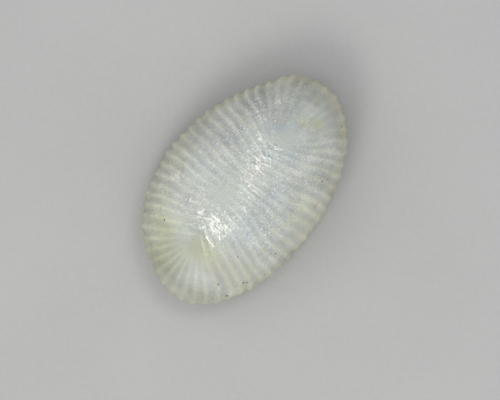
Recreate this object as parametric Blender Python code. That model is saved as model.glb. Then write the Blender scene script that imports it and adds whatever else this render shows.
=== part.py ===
"""Trivirostra hordacea: a white, ribbed, cowrie-like sea shell about 5 mm long.

The shell grew as one piece, so it is one closed body. It rests on its two lips with the dome up.
+Z is up through the dome, +Y is the posterior (spire) end and -Y the anterior end, and the outer
lip lies on the -X side. The origin is on the resting plane, under the middle of the shell's box.

Every rib runs from the middle line of the dome, over the margin and across the base, to end as a
tooth on a lip of the aperture. The surface follows the ribs: its columns are the rib lines and the
grooves between them, and its rows run round the shell, from the middle line of the dome to the
aperture and on through it over the smooth wall of the hollow.
"""

import math

import bpy
import bmesh
import numpy as np

MM = 0.001
TAU = 2.0 * math.pi

# Driving sizes of the smooth body between the ribs
HALF_WIDTH = 1.572 * MM
HALF_LENGTH = 2.506 * MM
HEIGHT = 2.66 * MM
DOME_FULLNESS = 2.12
DOME_CENTRE = np.array([-0.04, 0.12]) * MM

# Outline seen from above: an ellipse with a few broad swells and hollows along its edge, each with
# the angle of its middle (clockwise from the posterior tip), its spread and its height
OUTLINE_FULLNESS = 1.028
OUTLINE_SWELLS = (
    (math.radians(73.0), math.radians(66.0), -0.060),
    (math.radians(199.0), math.radians(32.0), -0.088),
    (math.radians(310.0), math.radians(34.5), -0.087),
    (math.radians(335.0), math.radians(9.0), 0.020),
)
OUTLINE_SAMPLES = 4000

# Ribs: even steps along the outline, a little wider apart at the anterior end of the body side
RIB_COUNT = 56
FIRST_RIB = 0.028 * MM
RIB_DRIFT = 0.134 * MM
RIB_DRIFT_START = 1.0
RIB_HEIGHT_LIP_SIDE = 0.046 * MM
RIB_HEIGHT_BODY_SIDE = 0.032 * MM
RIB_HEIGHT_POSTERIOR = 0.030 * MM
TOOTH_HEIGHT = 0.055 * MM
COLUMNS_PER_RIB = 3
RIB_PROFILE = (1.0, 0.0, 0.0)

# Middle line of the dome, where the ribs of both sides meet
MIDLINE_X = -0.10 * MM
MIDLINE_SHARE = 0.66
MIDLINE_POSTERIOR = 0.98 * MM
MIDLINE_ANTERIOR = -1.27 * MM
SMOOTH_STRIP_INNER = 0.12 * MM
SMOOTH_STRIP_OUTER = 0.72 * MM
STRIP_RIB_SHARE = 0.10
POSTERIOR_DOME_START = 1.35 * MM
POSTERIOR_DOME_FULL = 2.05 * MM
POSTERIOR_DOME_SHARE = 0.35

# Margin and base
MARGIN_HEIGHT = 0.36
MARGIN_TILT = 0.04
MARGIN_END_DROP = 0.07
BASE_FULLNESS = 0.86
BASE_LOWEST_SHARE = 0.36
END_UPTURN = 0.22 * MM
END_UPTURN_POWER = 4
CANAL_DEPTH = 0.22 * MM
CANAL_RIBS = 1.7
RESTING_CUT = 0.014 * MM

# Aperture between the lips
APERTURE_X = -0.17 * MM
APERTURE_BEND = 0.26 * MM
APERTURE_LENGTH_SHARE = 0.925
APERTURE_HALF_WIDTH = 0.135 * MM
APERTURE_TAPER = 0.4
LIP_ROLL = 0.20 * MM
LIP_THROAT = 0.16 * MM

# Hollow inside
WALL = 0.26 * MM
HOLLOW_FLOOR_SPREAD = 0.45

# Rows of the surface from the middle line of the dome round to the middle line of the hollow
DOME_ROWS = 11
BASE_ROWS = 6
LIP_ROWS = 3
HOLLOW_FLOOR_ROWS = 3
HOLLOW_DOME_ROWS = 4
WELD_DISTANCE = 1.0e-8

SHARP_ANGLE = math.radians(50.0)
SHELL_COLOUR = (0.62, 0.64, 0.57, 1.0)
SHELL_ROUGHNESS = 0.38


def outline_point(angle):
    """Point of the smooth outline at an angle, clockwise from the posterior tip."""
    reach = np.full_like(angle, OUTLINE_FULLNESS)
    for middle, spread, height in OUTLINE_SWELLS:
        apart = (angle - middle + math.pi) % TAU - math.pi
        reach = reach + height * np.exp(-((apart / spread) ** 2))
    return np.stack([HALF_WIDTH * reach * np.sin(angle), HALF_LENGTH * reach * np.cos(angle)], axis=-1)


def rib_foot(rib):
    """Point of the outline where a rib crosses the margin; whole numbers are crests."""
    angle = np.linspace(0.0, TAU, OUTLINE_SAMPLES + 1)
    edge = outline_point(angle)
    steps = np.linalg.norm(np.diff(edge, axis=0), axis=1)
    length = np.concatenate([[0.0], np.cumsum(steps)])
    drift = RIB_DRIFT * np.sin(math.pi * (rib - RIB_DRIFT_START) / RIB_COUNT) ** 6
    along = (FIRST_RIB + rib * length[-1] / RIB_COUNT + drift) % length[-1]
    return outline_point(np.interp(along, length, angle))


def reach_share(point, inset=0.0):
    """How far a point lies from the dome's centre, as a share of the way to the outline."""
    angle = np.linspace(0.0, TAU, OUTLINE_SAMPLES, endpoint=False)
    edge = outline_point(angle) - DOME_CENTRE
    edge_bearing = np.arctan2(edge[:, 0], edge[:, 1]) % TAU
    edge_reach = np.linalg.norm(edge, axis=1) - inset
    order = np.argsort(edge_bearing)
    from_centre = point - DOME_CENTRE
    bearing = np.arctan2(from_centre[..., 0], from_centre[..., 1]) % TAU
    whole = np.interp(bearing, edge_bearing[order], edge_reach[order], period=TAU)
    return np.linalg.norm(from_centre, axis=-1) / whole


def pair_y(rib):
    """Place along the shell that a rib shares with its partner from the other side."""
    return 0.5 * (rib_foot(rib)[..., 1] + rib_foot(RIB_COUNT - rib)[..., 1])


def midline_point(rib):
    """Point on the dome's middle line where a rib meets its partner from the other side."""
    y = np.clip(MIDLINE_SHARE * pair_y(rib), MIDLINE_ANTERIOR, MIDLINE_POSTERIOR)
    return np.stack([np.full_like(y, MIDLINE_X), y], axis=-1)


def margin_height(plan):
    """Height of the widest line; it is a little lower on the outer lip's side and at both ends."""
    tilt = MARGIN_TILT * plan[:, 0] / HALF_WIDTH
    drop = MARGIN_END_DROP * (plan[:, 1] / HALF_LENGTH) ** 2
    return HEIGHT * (MARGIN_HEIGHT + tilt - drop)


def smooth_step(low, high, value):
    share = np.clip((value - low) / (high - low), 0.0, 1.0)
    return share * share * (3.0 - 2.0 * share)


def rib_height(point):
    """Full height of a rib over its groove at the margin, from its place round the shell."""
    side = 0.5 + 0.5 * np.clip(point[..., 0] / HALF_WIDTH, -1.0, 1.0)
    height = RIB_HEIGHT_LIP_SIDE + (RIB_HEIGHT_BODY_SIDE - RIB_HEIGHT_LIP_SIDE) * side
    posterior = smooth_step(POSTERIOR_DOME_START, POSTERIOR_DOME_FULL, point[..., 1])
    return height + (np.minimum(height, RIB_HEIGHT_POSTERIOR) - height) * posterior


def outward(place):
    """Direction in which the ribs stand out from the body."""
    centre = np.array([DOME_CENTRE[0], DOME_CENTRE[1], MARGIN_HEIGHT * HEIGHT])
    radii = np.array([HALF_WIDTH, HALF_LENGTH, 0.5 * HEIGHT])
    slope = (place - centre) / radii**2
    return slope / np.linalg.norm(slope, axis=-1, keepdims=True)


def dome_place(rib, latitude, inset=0.0):
    """Point of the dome over a rib line; latitude runs from 0 at the middle line to 1 at the margin."""
    start = midline_point(rib)
    foot = rib_foot(rib)
    if inset:
        away = foot - DOME_CENTRE
        foot = foot - inset * away / np.linalg.norm(away, axis=-1, keepdims=True)
    start_angle = np.arcsin(reach_share(start, inset) ** (DOME_FULLNESS / 2.0))
    angle = start_angle + (0.5 * math.pi - start_angle) * latitude
    wanted = np.sin(angle) ** (2.0 / DOME_FULLNESS)
    low = np.zeros_like(rib)
    high = np.ones_like(rib)
    for _ in range(40):
        middle = 0.5 * (low + high)
        inside = reach_share(start + middle[:, None] * (foot - start), inset) < wanted
        low = np.where(inside, middle, low)
        high = np.where(inside, high, middle)
    share = np.ones_like(rib) * latitude if latitude in (0.0, 1.0) else 0.5 * (low + high)
    plan = start + share[:, None] * (foot - start)
    rise = np.cos(angle)
    z = margin_height(plan) * (1.0 - rise) + (HEIGHT - inset) * rise
    return np.column_stack([plan, z])


def dome_row(rib, latitude):
    """Row of the dome with its ribs, which fade towards the middle line and the posterior end."""
    place = dome_place(rib, latitude)
    from_midline = np.linalg.norm(place[:, :2] - midline_point(rib), axis=1)
    strength = smooth_step(SMOOTH_STRIP_INNER, SMOOTH_STRIP_OUTER, from_midline)
    strength = STRIP_RIB_SHARE * (latitude > 0.0) + (1.0 - STRIP_RIB_SHARE) * strength
    posterior = smooth_step(POSTERIOR_DOME_START, POSTERIOR_DOME_FULL, place[:, 1])
    faded = 1.0 - (1.0 - POSTERIOR_DOME_SHARE) * posterior * (1.0 - smooth_step(0.75, 1.0, latitude))
    height = rib_height(place) * strength * faded
    return place + (height * rib_shape(rib))[:, None] * outward(place)


def rib_shape(rib):
    """Profile across the ribs: narrow crests and wide grooves."""
    column = np.rint(rib * COLUMNS_PER_RIB).astype(int) % COLUMNS_PER_RIB
    return np.array(RIB_PROFILE)[column]


def aperture_point(rib):
    """Point of the aperture's rim where a rib ends, and the middle of the aperture beside it."""
    y = APERTURE_LENGTH_SHARE * pair_y(rib)
    bend = APERTURE_BEND * np.clip(y / HALF_LENGTH, 0.0, 1.0) ** 2
    middle_x = APERTURE_X + bend
    around = np.sin(TAU * rib / RIB_COUNT)
    half_width = APERTURE_HALF_WIDTH * np.sign(around) * np.abs(around) ** APERTURE_TAPER
    rim = np.stack([middle_x + half_width, y], axis=-1)
    middle = np.stack([middle_x, y], axis=-1)
    return rim, middle


def canal_share(rib):
    """How far a rib line lies in the canal at either end: 1 in its middle, 0 well beside it."""
    to_posterior = np.minimum(rib, RIB_COUNT - rib)
    to_anterior = np.abs(rib - 0.5 * RIB_COUNT)
    return np.exp(-((np.minimum(to_posterior, to_anterior) / CANAL_RIBS) ** 2))


def lowest_height(rib):
    """Height of the lowest line of the base; both ends turn up, with a canal cut in each."""
    y = rib_foot(rib)[..., 1]
    upturn = END_UPTURN * np.abs(y / HALF_LENGTH) ** END_UPTURN_POWER
    return upturn + CANAL_DEPTH * canal_share(rib)


def base_row(rib, share):
    """Row of the base, from the margin at 0 to the lowest line at 1."""
    foot = rib_foot(rib)
    rim, _ = aperture_point(rib)
    angle = 0.5 * math.pi * share
    along = BASE_LOWEST_SHARE + (1.0 - BASE_LOWEST_SHARE) * math.cos(angle) ** BASE_FULLNESS
    plan = rim + along * (foot - rim)
    low = lowest_height(rib)
    z = low + (margin_height(foot) - low) * (1.0 - math.sin(angle) ** BASE_FULLNESS)
    place = np.column_stack([plan, z])
    height = rib_height(foot) * (1.0 - share * canal_share(rib))
    return place + (height * rib_shape(rib))[:, None] * outward(place)


def lip_row(rib, share):
    """Row of the rolled lip, from the lowest line at 0 to the rim of the aperture at 1."""
    foot = rib_foot(rib)
    rim, middle = aperture_point(rib)
    angle = 0.5 * math.pi * share
    along = BASE_LOWEST_SHARE * (1.0 - math.sin(angle))
    plan = rim + along * (foot - rim)
    z = lowest_height(rib) + LIP_ROLL * (1.0 - math.cos(angle))
    place = np.column_stack([plan, z])
    to_slit = np.column_stack([middle - rim, np.zeros_like(rib)]) / APERTURE_HALF_WIDTH
    direction = math.cos(angle) * outward(place) + math.sin(angle) * to_slit
    height = rib_height(foot) + (TOOTH_HEIGHT - rib_height(foot)) * math.sin(angle)
    height = height * (1.0 - canal_share(rib))
    return place + (height * rib_shape(rib))[:, None] * direction


def hollow_floor_row(rib, share):
    """Row of the hollow's floor, from the throat of the aperture at 0 to the inner margin at 1."""
    inner = dome_place(rib, 1.0, WALL)
    rim, _ = aperture_point(rib)
    throat_z = lowest_height(rib) + LIP_ROLL + LIP_THROAT
    angle = 0.5 * math.pi * share
    plan = rim + math.sin(angle) ** HOLLOW_FLOOR_SPREAD * (inner[:, :2] - rim) * share
    z = throat_z + (inner[:, 2] - throat_z) * (1.0 - math.cos(angle))
    return np.column_stack([plan, z])


def shell_rows(rib):
    """All rows of the surface in order, as one array of points for each row."""
    rows = [dome_row(rib, step / DOME_ROWS) for step in range(DOME_ROWS + 1)]
    rows += [base_row(rib, step / BASE_ROWS) for step in range(1, BASE_ROWS + 1)]
    rows += [lip_row(rib, step / LIP_ROWS) for step in range(1, LIP_ROWS + 1)]
    rows += [hollow_floor_row(rib, step / HOLLOW_FLOOR_ROWS) for step in range(HOLLOW_FLOOR_ROWS + 1)]
    rows += [
        dome_place(rib, 1.0 - step / HOLLOW_DOME_ROWS, WALL) for step in range(1, HOLLOW_DOME_ROWS + 1)
    ]
    return np.array(rows)


def settle(points):
    """Cut the lowest crests flat where the shell rests, and move the origin under its middle."""
    points[..., 2] = np.maximum(points[..., 2], RESTING_CUT)
    flat = points.reshape(-1, 3)
    low = flat.min(axis=0)
    high = flat.max(axis=0)
    return points - np.array([0.5 * (low[0] + high[0]), 0.5 * (low[1] + high[1]), low[2]])


def make_material():
    material = bpy.data.materials.new("shell_enamel")
    material.use_nodes = True
    shader = material.node_tree.nodes["Principled BSDF"]
    shader.inputs["Base Color"].default_value = SHELL_COLOUR
    shader.inputs["Roughness"].default_value = SHELL_ROUGHNESS
    shader.inputs["Metallic"].default_value = 0.0
    material.diffuse_color = SHELL_COLOUR
    return material


def make_shell(collection):
    """A flat grid is laid over the surface: its columns follow the ribs, its rows go round."""
    columns = RIB_COUNT * COLUMNS_PER_RIB
    rib = (np.arange(columns + 1) % columns) / COLUMNS_PER_RIB
    points = settle(shell_rows(rib))
    rows = points.shape[0] - 1

    mesh = bpy.data.meshes.new("shell")
    bm = bmesh.new()
    bmesh.ops.create_grid(bm, x_segments=columns, y_segments=rows, size=1.0)
    for vertex in bm.verts:
        column = round((vertex.co.x + 1.0) * 0.5 * columns)
        row = round((vertex.co.y + 1.0) * 0.5 * rows)
        vertex.co = points[row, column]
    bmesh.ops.remove_doubles(bm, verts=bm.verts, dist=WELD_DISTANCE)
    bmesh.ops.recalc_face_normals(bm, faces=bm.faces)
    bm.to_mesh(mesh)
    bm.free()

    mesh.shade_smooth()
    mesh.set_sharp_from_angle(angle=SHARP_ANGLE)
    mesh.materials.append(make_material())
    shell = bpy.data.objects.new("shell", mesh)
    collection.objects.link(shell)
    return shell


def main():
    for old in list(bpy.data.objects):
        bpy.data.objects.remove(old, do_unlink=True)
    collection = bpy.data.collections.new("trivirostra_hordacea_shell")
    bpy.context.scene.collection.children.link(collection)
    make_shell(collection)


main()
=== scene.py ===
"""A small white ribbed shell, Trivirostra hordacea, resting on a pale floor in soft studio light.

Laid out as an add-on and run as a script. The shell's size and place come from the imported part, and
its surface is made here again from the same ribs with many more rows and columns, so that every rib
has a rounded crest, a hollow groove and the small unevenness of a grown thing.

+Y is the posterior end, -Y the anterior end, and the outer lip lies on the -X side.
"""

import math

import bmesh
import bpy
import numpy as np
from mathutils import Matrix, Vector, noise
from mathutils.bvhtree import BVHTree


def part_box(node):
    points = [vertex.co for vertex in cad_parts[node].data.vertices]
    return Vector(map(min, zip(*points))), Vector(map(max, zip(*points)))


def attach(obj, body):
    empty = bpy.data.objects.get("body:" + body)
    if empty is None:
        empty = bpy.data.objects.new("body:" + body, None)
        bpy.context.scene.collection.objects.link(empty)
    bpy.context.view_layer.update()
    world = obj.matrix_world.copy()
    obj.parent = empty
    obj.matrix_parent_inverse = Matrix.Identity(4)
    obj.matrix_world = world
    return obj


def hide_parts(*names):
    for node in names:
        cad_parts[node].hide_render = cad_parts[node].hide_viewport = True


bl_info = {
    "name": "Ribbed Shell Studio",
    "version": (1, 0, 0),
    "blender": (4, 5, 0),
    "location": "3D Viewport > Sidebar > Shell",
    "description": "A small white ribbed shell and the pale studio stage that it rests on",
    "category": "Add Mesh",
}

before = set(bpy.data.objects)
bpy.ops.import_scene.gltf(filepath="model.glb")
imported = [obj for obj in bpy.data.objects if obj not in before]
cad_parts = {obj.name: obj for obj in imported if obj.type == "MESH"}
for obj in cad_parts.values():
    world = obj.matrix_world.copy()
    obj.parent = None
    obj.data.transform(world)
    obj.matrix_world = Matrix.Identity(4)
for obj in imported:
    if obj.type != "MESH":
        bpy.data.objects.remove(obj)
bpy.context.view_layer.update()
SHELL_LOW, SHELL_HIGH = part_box("shell")
SHELL_SIZE = SHELL_HIGH - SHELL_LOW

MM = 0.001
TAU = 2.0 * math.pi

# Smooth body between the ribs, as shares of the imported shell's box
HALF_WIDTH = 0.4930 * SHELL_SIZE.x
HALF_LENGTH = 0.5014 * SHELL_SIZE.y
HEIGHT = 1.0057 * SHELL_SIZE.z
DOME_FULLNESS = 2.12
DOME_CENTRE = np.array([-0.04, 0.12]) * MM

# Outline seen from above: an ellipse with a few broad swells and hollows along its edge, each with
# the angle of its middle (clockwise from the posterior tip), its spread and its height
OUTLINE_FULLNESS = 1.028
OUTLINE_SWELLS = (
    (math.radians(73.0), math.radians(66.0), -0.060),
    (math.radians(199.0), math.radians(32.0), -0.088),
    (math.radians(310.0), math.radians(34.5), -0.087),
    (math.radians(335.0), math.radians(9.0), 0.020),
)
OUTLINE_SAMPLES = 4000

# Courses of the ribs over the dome
RIB_COUNT = 56
FIRST_RIB = 0.028 * MM
RIB_DRIFT = 0.134 * MM
RIB_DRIFT_START = 1.0
RIB_DRIFT_POWER = 6
MIDLINE_X = -0.10 * MM
MIDLINE_SHARE = 0.66
MIDLINE_POSTERIOR = 0.98 * MM
MIDLINE_ANTERIOR = -1.27 * MM
SMOOTH_STRIP_INNER = 0.10 * MM
SMOOTH_STRIP_OUTER = 0.72 * MM
CROWDED_SPACING = 0.19 * MM
FLANK_SHARE_LIP_SIDE = 0.50
FLANK_SHARE_BODY_SIDE = 0.42
FLANK_START = 0.10
POSTERIOR_DOME_START = 1.55 * MM
POSTERIOR_DOME_FULL = 2.15 * MM
KNOB_PLACE = np.array([0.17, 2.00]) * MM
KNOB_REACH = 0.45 * MM
KNOB_PLAIN = 0.35 * MM
KNOB_RIBBED = 0.75 * MM
KNOB_RIB_SHARE = 0.40
KNOB_FADE_START = 0.7
BISECTIONS = 40

# Calm spots in millimetres: the place, how far the ribs stay low and where they are full again, and
# the share of their height that is left in the middle
CALM_SPOTS = (
    (-0.16, -0.38, 0.15, 0.65, 0.35),
    (0.04, -1.46, 0.12, 0.62, 0.45),
)

# Slow bends of the ribs' courses over the dome: the rib and latitude in the middle of each, how
# many ribs and how much of the latitude it reaches over, and the shift in ribs
RIB_BENDS = (
    (49.0, 0.55, 4.5, 0.35, -0.42),
    (35.0, 0.55, 4.0, 0.40, 0.35),
    (21.5, 0.45, 4.0, 0.40, -0.42),
    (7.0, 0.30, 3.0, 0.20, 0.20),
)

# Margin and base
MARGIN_HEIGHT = 0.36
MARGIN_LEVEL = 0.95 * MM
MARGIN_TILT = 0.04
MARGIN_END_DROP = 0.07
MARGIN_START = 0.45
BASE_FULLNESS = 0.86
BASE_LOWEST_SHARE = 0.36
END_UPTURN = 0.22 * MM
END_UPTURN_POWER = 4
CANAL_DEPTH = 0.22 * MM
CANAL_RIBS = 1.7
RESTING_CUT = 0.014 * MM

# Aperture and hollow
APERTURE_X = -0.17 * MM
APERTURE_BEND = 0.26 * MM
APERTURE_LENGTH_SHARE = 0.925
APERTURE_HALF_WIDTH = 0.135 * MM
APERTURE_TAPER = 0.4
LIP_ROLL = 0.20 * MM
LIP_THROAT = 0.16 * MM
WALL = 0.26 * MM
HOLLOW_FLOOR_SPREAD = 0.45

# Unevenness of the relief: the wavelength of each noise and the seed that shifts it
WANDER_NOISE = (1.1 * MM, 3.0)
UNEVEN_NOISE = (0.42 * MM, 11.0)
GROWTH_NOISE = (0.9 * MM, 23.0)
SWELL_NOISE = (0.75 * MM, 31.0)
GROWTH_LINE_SPACING = 0.16 * MM
GROWTH_LINE_BEND = 1.4
MIRROR_STEEPNESS = 4.0

# Rows of the surface from the dome's middle line round to the middle line of the hollow
DOME_ROWS = 56
BASE_ROWS = 24
LIP_ROWS = 10
THROAT_ROWS = 3
HOLLOW_FLOOR_ROWS = 5
HOLLOW_DOME_ROWS = 10
WELD_DISTANCE = 1.0e-8

# The photograph's framing: where the camera aims at the margin's level, how far it is turned and
# how wide a stretch it takes in
IMAGE_WIDTH = 500
VIEW_CENTRE = (0.2607 * MM, -0.1394 * MM)
VIEW_TURN = math.radians(38.7)
PIXEL_SIZE = 0.01917 * MM
CLIP_START = 1.0 * MM
CLIP_END = 1.0

# Floor and lights; each light has the direction it hangs in, its distance, its size, the setting
# that gives its power, and its colour
FLOOR_GAP = 0.002 * MM
FLOOR_SIDES = 96
FLOOR_SCALES = (0.25, 9.0)
FLOOR_BRIGHTNESS = (0.98, 1.02)
FLOOR_GRAIN_SWING = 0.02
FLOOR_ROUGHNESS = (0.80, 0.95)
FLOOR_GRAIN_HEIGHT = 0.006
LAMPS = (
    ("top_light", (-0.03, -0.22, 0.97), 150.0 * MM, 240.0 * MM, "top_power", (1.0, 1.0, 1.0)),
    ("anterior_lamp", (0.13, -0.55, 0.82), 60.0 * MM, 20.0 * MM, "anterior_power", (1.0, 0.97, 0.89)),
    ("posterior_lamp", (0.02, 0.26, 0.96), 60.0 * MM, 14.0 * MM, "posterior_power", (1.0, 1.0, 1.0)),
)

# Enamel colour: tints that patches give (the pale tint is painted light), painted shade in the grooves
# and at the edge, warm and cool grain, and what covers the colour, with how much of it shows
PATCH_TINTS = {"blush": (1.0, 0.955, 0.98), "pale": (1.18, 1.18, 1.18)}
CREST_BREADTH = 1.3
# Painted shade: grooves darkened further where their own patches lie, on the posterior lip side
DEEP_GROOVE_SHADE = (0.66, 0.67, 0.68)
# Painted shade: the margin's very edge darkened, more strongly the nearer the edge
PAINTED_EDGE_SHADE = (0.84, 0.84, 0.82)
EDGE_SHADE_POWER = 4.0
# How much of the painted groove shade fades in the top strip and at the margin
GROOVE_SHADE_FADES = (("strip", 0.3), ("margin", 0.7))
CLEAR_CALM = 0.8
GRAIN_TINTS = (
    ("close", "Tint", 0.15, (0.975, 0.985, 1.0), (1.0, 0.985, 0.97)),
    ("wide", "Grain Tint", 0.2, (0.965, 0.985, 1.0), (1.0, 0.985, 0.915)),
)
# The powder is partly real powdery specks and partly painted light and glints; the near-white fleck cover
# is painted glints
COVERS = (
    ("powder", 0.55, (0.88, 0.88, 0.85)),
    ("glint_flecks", 1.0, (0.97, 0.98, 0.93)),
    ("ochre", 0.6, (0.45, 0.36, 0.19)),
    ("rust", 0.85, (0.22, 0.13, 0.06)),
    ("dark", 0.9, (0.07, 0.07, 0.05)),
)

# Scales of the enamel's noises and nets, in steps a millimetre, and the thresholds at which marks
# start to show where their window is shut and where it is open
MOTTLING_SCALES = {"wide": (1.7, 34.0), "close": (6.0, 12.0)}
STREAK_STEPS = (1.6, 11.0)
DASH_STEPS = (6.0, 36.0)
DASH_THRESHOLDS = (0.84, 0.52)
DASH_SOFTNESS = 0.07
SIDE_STEP_SHARE = 0.6
HAIRLINE_SCALE = 11.0
HAIRLINE_THRESHOLDS = (0.80, 0.42)
HAIRLINE_SOFTNESS = 0.08
HAIRLINE_PROFILE = (0.02, 0.11, 0.8, 0.0)
HAIRLINE_BEND = (9.0, 1.0, 0.10, 0.0)
HAIRLINE_BREAK_SCALE = 7.0
POWDER_SCALE = 24.0
POWDER_THRESHOLD = 0.60
POWDER_WINDOW_SHARE = 0.10
POWDER_SOFTNESS = 0.10
SCRATCH_HALF_WIDTH = 0.012
SCRATCH_EDGE = (0.4, 1.2)
SCRATCH_FLATTENING = (1.0, 1.0, 0.3)
SCRATCH_BEND = (16.0, 2.0, 0.05, 0.5)
SCRATCH_BREAK_SCALE = 26.0
SCRATCH_BREAKS = (0.36, 0.52, 0.2, 1.0)
SPECK_EDGE = (0.5, 40.0)
ORIGIN = (0.0, 0.0, 0.0)

# Enamel finish: how far clouds and grain stray from their middle value, how much that changes in the
# top strip's tint and in the brightness, heights of the fine relief in millimetres, and what flecks,
# dirt, the strip and clouds add to the roughness and the gloss
CLOUD_REACH = 0.2
GRAIN_REACH = 0.25
STRIP_TINT_SWING = 0.3
STRIP_TINT_RANGE = (0.1, 1.0)
CLOUD_SWING = 0.13
STREAK_SWING = 0.08
CLOSE_GRAIN_SWING = 0.03
WIDE_GRAIN_SWING = 0.16
FINE_LINE_SPACING = 0.055
FINE_LINE_BEND = 14.0
FINE_LINE_HEIGHT = 0.0008
CLOSE_GRAIN_HEIGHT = 0.002
WIDE_GRAIN_HEIGHT = 0.0045
CRAZING_HEIGHT = 0.030
FLECK_HEIGHT = 0.004
DIRT_HEIGHT = 0.006
ROUGH_CLOUDS = 0.08
ROUGH_FLECKS = -0.2
ROUGH_DIRT = 0.45
GLOSS_CLOUDS = 0.1
GLOSS_FLECKS = 0.8
GLOSS_STRIP = 0.35

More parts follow.
